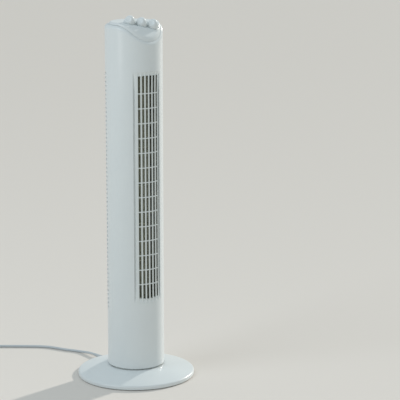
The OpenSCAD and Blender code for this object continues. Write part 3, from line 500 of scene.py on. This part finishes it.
edge_cells = np.r_[np.arange(side_steps), np.arange(2, side_steps) * side_steps - 1,
                   np.arange(side_steps ** 2 - 1, side_steps ** 2 - side_steps - 1, -1),
                   np.arange(side_steps - 2, 0, -1) * side_steps]
top_grid = np.stack([panel_x, panel_y, panel_top], -1).reshape(-1, 3)
under_grid = np.stack([panel_x, panel_y, panel_under], -1).reshape(-1, 3)
disc_faces = grid_faces(side_steps, side_steps)
count = len(top_grid)
after = np.roll(edge_cells, -1)
rim_faces = np.stack([edge_cells + count, after + count, after, edge_cells], -1)
add_piece("panel_cap", np.vstack([top_grid, under_grid]),
          np.vstack([disc_faces, disc_faces[:, ::-1] + count, rim_faces]),
          "column", "shell_abs", ["control_panel"], smooth=50)
print("panel", len(disc_faces), "faces on top")

# %% [markdown]
# ## The knobs
# Each knob is a low dome with a scoop on each side, which leaves a grip to turn it by. Over
# a disc of points the height is the dome's ellipse, cut down by two hollow cylinders beside
# the grip; a soft minimum rounds the edge where they meet.

# %% Knobs
knob_r, knob_h, skirt_h, knob_lift = 11.3, 15.5, 2.5, 0.4
grip_half, scoop_r, scoop_floor, no_scoop = 3.25, 12, 5, 40


def knob_height(x, y):
    """Soft minimum of the dome and the scoops: less the logarithm of the sum of both
    heights' negative exponentials. Over the grip the scoop is out of reach."""
    d = np.clip(np.hypot(x, y) / knob_r, 0, 1)
    dome = skirt_h + (knob_h - skirt_h) * np.sqrt(1 - d * d)
    away = np.clip(abs(x) - grip_half - scoop_r, -scoop_r, 0)
    scoop = scoop_floor + scoop_r - np.sqrt(scoop_r ** 2 - away ** 2)
    scoop = np.where(abs(x) < grip_half, no_scoop, scoop)
    return -np.log(np.exp(-dome) + np.exp(-scoop))


def knob_surface(place, across=46, around=72):
    """Rings from the middle to the edge, down the skirt and back under, turned to stand
    square to the terrace."""
    ring_r = knob_r * np.sin(np.linspace(0, np.pi / 2, across))
    turn = np.linspace(0, 2 * np.pi, around, endpoint=False)
    x, y = ring_r[:, None] * np.cos(turn), ring_r[:, None] * np.sin(turn)
    top = np.stack([x, y, np.maximum(knob_height(x, y), skirt_h - 0.2)], -1)
    under = ((knob_r, 1.4), (knob_r, 0.3), (knob_r - 0.3, 0), (0, 0))
    skirt = np.stack([np.stack([r * np.cos(turn), r * np.sin(turn), np.full(around, z)], -1)
                      for r, z in under])
    local = np.vstack([top, skirt])[::-1]
    local[..., 2] += knob_lift
    c, s = math.cos(tilt), math.sin(tilt)
    turned = np.stack([local[..., 0], c * local[..., 1] - s * local[..., 2],
                       s * local[..., 1] + c * local[..., 2]], -1)
    return turned + np.array(place), grid_faces(across + len(under), around, wrap=True)


for which, place in knob_places.items():
    points, faces = knob_surface(place)
    add_piece(which + "_cap", points, faces, which, "shell_abs", [which + "_knob"], smooth=40)
print("knobs", list(knob_places))

# %% [markdown]
# ## The sleeve and the plug
# The sleeve where the lead leaves the base is moulded PVC. It tapers towards the lead and
# has grooves that let it bend evenly. The plug is one soft-cornered moulding: its cross
# section is a rounded rectangle that widens along its length, and two round pins stand out
# of its face.

# %% Strain relief sleeve
sleeve_r, sleeve_taper, sleeve_start, groove_cut, groove_waves = 4.1, 1.1, 0.2, 0.35, 6.5
sleeve_sides = 32
t = np.linspace(0, 1, 61)
in_groove = np.cos(2 * np.pi * groove_waves * t) < -0.2
r = np.r_[0, sleeve_r - sleeve_taper * t - groove_cut * in_groove, 0][:, None]
along = np.r_[0, sleeve_start + (sleeve_length - sleeve_start) * t, sleeve_length][:, None]
turn = np.linspace(0, 2 * np.pi, sleeve_sides, endpoint=False)
sleeve_grid = np.stack(np.broadcast_arrays(r * np.sin(turn), base_edge + along,
                                           exit_z + r * np.cos(turn)), -1)
cord_sleeve = add_piece("cord_sleeve", sleeve_grid, grid_faces(len(r), sleeve_sides, wrap=True),
                        "base", "cord_pvc", ["strain_relief"], smooth=30, closed=True)
print("sleeve", round(float(along[-1, 0])), "mm")

# %% Plug
def rounded_section(half_w, half_h, power=4, steps=40):
    """A superellipse: the fourth powers of both coordinates, each over its half size, add
    up to one."""
    a = np.linspace(0, 2 * np.pi, steps, endpoint=False)
    c, s = np.cos(a), np.sin(a)
    return np.stack([half_w * np.sign(c) * abs(c) ** (2 / power),
                     half_h * np.sign(s) * abs(s) ** (2 / power)], -1)


plug_t = np.array([0, 0, 0.02, 0.15, 0.3, 0.42, 0.52, 0.6, 0.75, 0.92, 0.975, 1, 1])
plug_half_w = np.array([0, 4.2, 5.0, 5.2, 6.0, 10.5, 14.6, 16.4, 17, 17, 16.6, 15.6, 0])
plug_half_h = np.array([0, 4.2, 5.0, 5.4, 5.9, 6.5, 6.8, 6.8, 6.8, 6.8, 6.5, 5.9, 0])
sections = np.stack([rounded_section(w, h) for w, h in zip(plug_half_w, plug_half_h)])
plug_from, plug_length, pin_from, pin_length, pin_side = 0.2, 35.8, 35.5, 19.4, 9.3
plug_at, up = tail_at + tail_length * lead_side + [0, 0, plug_z], np.array([0, 0, 1])
plug_grid = (plug_at + (plug_from + plug_length * plug_t)[:, None, None] * lead_side
             - sections[..., :1] * lead_dir + sections[..., 1:] * up)
plug_faces = [grid_faces(*plug_grid.shape[:2], wrap=True)]
plug_points = [plug_grid.reshape(-1, 3)]
pin_t = np.array([0, 0, 0.93, 0.98, 1, 1])
pin_radius = np.array([0, 2, 2, 1.7, 1.0, 0])[:, None]
turn = np.linspace(0, 2 * np.pi, 20, endpoint=False)
for side in (-pin_side, pin_side):
    pin = (plug_at + side * lead_dir
           + (pin_from + pin_length * pin_t)[:, None, None] * lead_side
           - (pin_radius * np.cos(turn))[..., None] * lead_dir
           + (pin_radius * np.sin(turn))[..., None] * up)
    plug_faces.append(grid_faces(*pin.shape[:2], wrap=True) + sum(map(len, plug_points)))
    plug_points.append(pin.reshape(-1, 3))
mains_plug = add_piece("plug_body", np.vstack(plug_points), np.vstack(plug_faces), "base",
                       "cord_pvc", ["mains_plug"], smooth=40, closed=True)
print("plug", len(mains_plug.data.polygons), "faces")

# %% [markdown]
# ## Finishes
# Each finish starts from what the real piece is made of and how its surface was made. Colours
# are written as sRGB hex and turned to linear values. The patterns read Object coordinates,
# which are metres here, so a pattern's scale is one over its real size in metres.

# %% Material helpers
def linear(hex_colour):
    """sRGB hex to linear: the low end over 12.92, the rest by the 2.4 power."""
    c = np.array([int(hex_colour[i:i + 2], 16) for i in (1, 3, 5)]) / 255
    c = np.where(c <= 0.04045, c / 12.92, ((c + 0.055) / 1.055) ** 2.4)
    return (*c.tolist(), 1)


def add_node(tree, kind, links=None, **settings):
    """Adds a node. links gives a value or another node's socket for each named input."""
    node = tree.nodes.new(kind)
    for name, value in settings.items():
        setattr(node, name, value)
    for name, value in (links or {}).items():
        if isinstance(value, bpy.types.NodeSocket):
            tree.links.new(value, node.inputs[name])
        else:
            node.inputs[name].default_value = value
    return node


def start_material(name, **shader):
    """A material with its shader's constant settings, and the coordinates in metres."""
    material = bpy.data.materials.new(name)
    material.use_nodes = True
    tree = material.node_tree
    surface = tree.nodes["Principled BSDF"]
    for key, value in shader.items():
        surface.inputs[key.replace("_", " ")].default_value = value
    place = tree.nodes.new("ShaderNodeTexCoord").outputs["Object"]
    return material, tree, surface, place


def two_tones(tree, surface, pattern, light, dark, low, high):
    """A pattern from 0 to 1 mixes two colours, and the roughness runs with it from low to
    high."""
    colour = add_node(tree, "ShaderNodeMix",
                      {"Factor": pattern, "A": linear(light), "B": linear(dark)},
                      data_type="RGBA")
    gloss = add_node(tree, "ShaderNodeMapRange", {"Value": pattern, "To Min": low, "To Max": high})
    tree.links.new(colour.outputs["Result"], surface.inputs["Base Color"])
    tree.links.new(gloss.outputs["Result"], surface.inputs["Roughness"])


def relief(tree, surface, pattern, strength, depth_mm):
    """A pattern from 0 to 1 roughens the surface by a depth in millimetres."""
    bump = add_node(tree, "ShaderNodeBump", {"Height": pattern, "Strength": strength,
                                             "Distance": depth_mm * MM})
    tree.links.new(bump.outputs["Normal"], surface.inputs["Normal"])


def moulded_plastic(name, light, dark, roughness, grain_mm=0.9, grain_depth=0.02, blotch_mm=60,
                    ior=1.53):
    """Moulded plastic: two near colours drift into each other over a few centimetres, the
    gloss drifts with them, and a fine grain from the spark-eroded mould breaks it up."""
    material, tree, surface, place = start_material(name, IOR=ior)
    drift = add_node(tree, "ShaderNodeTexNoise", {"Vector": place, "Scale": 1000 / blotch_mm,
                                                  "Detail": 3}).outputs["Fac"]
    grain = add_node(tree, "ShaderNodeTexNoise", {"Vector": place, "Scale": 1000 / grain_mm,
                                                  "Detail": 2}).outputs["Fac"]
    two_tones(tree, surface, drift, light, dark, roughness - 0.04, roughness + 0.04)
    relief(tree, surface, grain, 0.35, grain_depth)
    return material


print("white plastic renders as", [round(c, 2) for c in linear("#E3E8E8")[:3]])

# %% Plastics and rubber
# ABS, injection moulded: off-white, satin, slightly cool.
finish = {
    "shell_abs": moulded_plastic("satin off-white ABS", "#E3E8E8", "#DEE4E5", 0.30),
    "grille_abs": moulded_plastic("satin off-white ABS, grille", "#E2E7E6", "#DDE3E3", 0.32),
    # Polypropylene with talc, as used out of sight: pale grey and dull.
    "inner_plastic": moulded_plastic("grey talc-filled polypropylene", "#D3D5C6", "#C9CBBB", 0.55,
                                     ior=1.49),
    # The impeller's polypropylene is a lighter, greenish grey.
    "impeller_pp": moulded_plastic("greenish grey polypropylene, impeller", "#D8D9C6", "#CFD0BC",
                                   0.5, ior=1.49),
    # Glass-filled nylon: nearly black, dull, with a coarse grain.
    "black_plastic": moulded_plastic("black glass-filled nylon", "#3A3B38", "#2E2F2D", 0.5, 1.4,
                                     0.04),
    # PVC sheath, extruded: pale grey and soft-looking.
    "cord_pvc": moulded_plastic("extruded pale grey PVC", "#C9CFD2", "#BFC6CA", 0.45, 1.2, 0.02,
                                30),
    # Natural rubber, pressed: black with a bloom that lightens it in places.
    "rubber": moulded_plastic("pressed black rubber", "#242526", "#343536", 0.75, 1.0, 0.05, 12,
                              1.52),
}
print(len(finish), "plastics")

# %% [markdown]
# The metals are bare or plated. A metal's colour is its reflection, so its base colour is
# bright and its metallic value is one. Zinc plating has a cloudy spangle, turned brass has
# fine rings, and a motor core is a stack of varnished sheets that show as thin lines.

# %% Metals
def plated_metal(name, light, dark, roughness, spangle_mm=3.0, metallic=1.0):
    """Two tones in a cell pattern of the spangle's size, with gloss that follows the cells. A
    coat of paint has the same clouds, and a metallic value of 0."""
    material, tree, surface, place = start_material(name, Metallic=metallic)
    cells = add_node(tree, "ShaderNodeTexVoronoi", {"Vector": place, "Scale": 1000 / spangle_mm})
    cloud = add_node(tree, "ShaderNodeTexNoise", {"Vector": place, "Scale": 1000 / spangle_mm / 3,
                                                  "Detail": 4})
    both = add_node(tree, "ShaderNodeMath", {0: cells.outputs["Distance"],
                                             1: cloud.outputs["Fac"]}, operation="MULTIPLY")
    two_tones(tree, surface, both.outputs[0], light, dark, roughness, roughness + 0.15)
    return material


def lined_metal(name, light, dark, roughness, line_mm):
    """Level bands of two tones, each about line_mm thick: sheets of a core, turns of wire, or
    tool marks."""
    material, tree, surface, place = start_material(name, Metallic=1.0)
    wave_scale = 1000 / line_mm / (2 * math.pi)
    bands = add_node(tree, "ShaderNodeTexWave", {"Vector": place, "Scale": wave_scale,
                     "Distortion": 0.6, "Detail": 2}, bands_direction="Z").outputs["Fac"]
    two_tones(tree, surface, bands, light, dark, roughness, roughness + 0.1)
    relief(tree, surface, bands, 0.5, 0.05)
    return material


finish["steel"] = plated_metal("zinc-plated steel", "#C9CCCE", "#9DA2A6", 0.28)
finish["ballast_steel"] = plated_metal("black painted steel plate", "#43464A", "#35383C",
                                       0.5, 6, 0)
finish["core_steel"] = lined_metal("varnished steel laminations", "#6B6E72", "#3F4246", 0.4, 1.0)
finish["brass"] = lined_metal("turned brass", "#D9B56A", "#C39B4E", 0.25, 0.8)
finish["copper"] = lined_metal("enamelled copper wire", "#C4723F", "#8A4526", 0.35, 0.8)
print(len(finish), "finishes")

# %% Give every piece its finish
slot_of = {s["node"]: s["material_slot"] for s in frame["record"]["subparts"]}
slot_of["impeller"] = "impeller_pp"
for name, cad in frame["nodes"].items():
    cad.data.materials.clear()
    cad.data.materials.append(finish[slot_of[name]])
for piece, slot in finish_of.items():
    piece.data.materials.append(finish[slot])
print(len(slot_of), "CAD nodes and", len(finish_of), "new pieces have a finish")

# %% [markdown]
# ## Floor and light
# The fan stands on a plain pale floor. A far lamp on the right and a little behind shines
# low, as the sun does late in the day, and leaves a bright rim and a long shadow. A large
# cool panel on the left lights the front softly, a small card close to the column leaves a
# short gleam near its top, and the plain surroundings fill in the rest evenly.

# %% Floor
half = 9
floor_mesh = bpy.data.meshes.new("floor")
floor_mesh.from_pydata([(-half, -half, 0), (half, -half, 0), (half, half, 0), (-half, half, 0)],
                       [], [(0, 1, 2, 3)])
floor = bpy.data.objects.new("floor", floor_mesh)
bpy.context.scene.collection.objects.link(floor)
floor_paint, _, surface, _ = start_material("pale floor", Roughness=0.6)
surface.inputs["Base Color"].default_value = linear("#E2DCD5")
floor.data.materials.append(floor_paint)
print("floor", 2 * half, "m across")

# %% Lamps and surroundings
def add_lamp(name, angle, elevation, distance, size, energy, colour, aim=(0, 0, 0.35)):
    """An area lamp that looks at its aim, in metres and watts. angle is counted in degrees
    from the fan's front, to its right."""
    data = bpy.data.lights.new(name, "AREA")
    data.shape, data.size, data.size_y = "RECTANGLE", size[0], size[1]
    data.energy, data.color = energy, linear(colour)[:3]
    lamp = bpy.data.objects.new(name, data)
    a, e = math.radians(angle), math.radians(elevation)
    lamp.location = Vector(aim) + distance * Vector(
        (math.sin(a) * math.cos(e), -math.cos(a) * math.cos(e), math.sin(e)))
    lamp.rotation_euler = (Vector(aim) - lamp.location).to_track_quat("-Z", "Y").to_euler()
    bpy.context.scene.collection.objects.link(lamp)


far_angle, far_elevation = 97.5, 24
far_data = bpy.data.lights.new("far lamp", "SUN")
far_data.energy, far_data.angle, far_data.color = 2.2, 0.035, linear("#FFFAF2")[:3]
far_lamp = bpy.data.objects.new("far lamp", far_data)
far_lamp.rotation_euler = (math.radians(90 - far_elevation), 0, math.radians(far_angle))
bpy.context.scene.collection.objects.link(far_lamp)
add_lamp("left panel", -95, 42, 4.0, (2.0, 2.0), 32, "#E8F4FF")
add_lamp("left card", -91, 0, 0.6, (0.16, 0.1), 0.15, "#FFFFFF", (0, 0, 0.63))
world = bpy.data.worlds.new("surroundings")
bpy.context.scene.world = world
world.use_nodes = True
background = world.node_tree.nodes["Background"]
background.inputs["Color"].default_value = linear("#B9C1C4")
background.inputs["Strength"].default_value = 1.0
bpy.context.scene.view_settings.view_transform = "Standard"
print("lit")

# %% Update the scene
bpy.context.view_layer.update()
